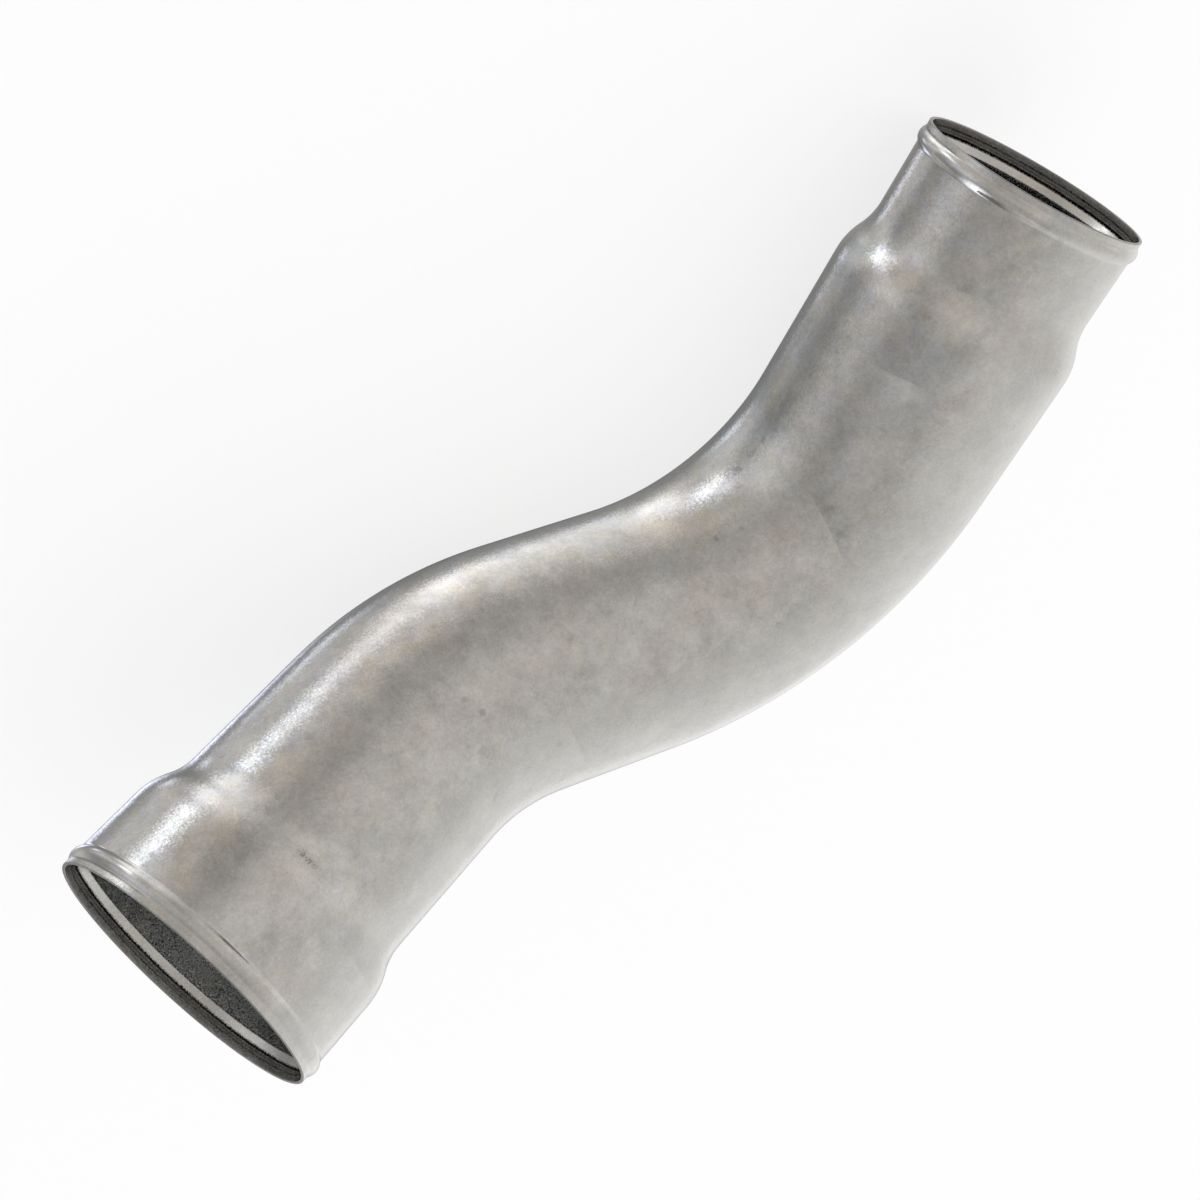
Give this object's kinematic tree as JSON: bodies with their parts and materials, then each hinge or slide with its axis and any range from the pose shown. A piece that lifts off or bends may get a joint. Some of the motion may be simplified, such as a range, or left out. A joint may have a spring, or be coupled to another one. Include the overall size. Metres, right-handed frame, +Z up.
{
  "type": "cold air intake pipe",
  "caption": "Bent thin-walled metal air intake pipe with a swaged-up collar at one end, a reduced collar at the other, and a rolled hose bead behind each lip.",
  "frame": {"origin": "middle of the bounding box on the surface that the pipe lies on", "axes": "+Z up from that surface, +X along the pipe towards its large end"},
  "size_m": [0.4172, 0.1672, 0.1469],
  "materials": {
    "pipe_metal": "dull satin bare metal, cloudy, lightly marked"
  },
  "bodies": {
    "root": {"intake_pipe": "pipe_metal"}
  },
  "joints": []
}
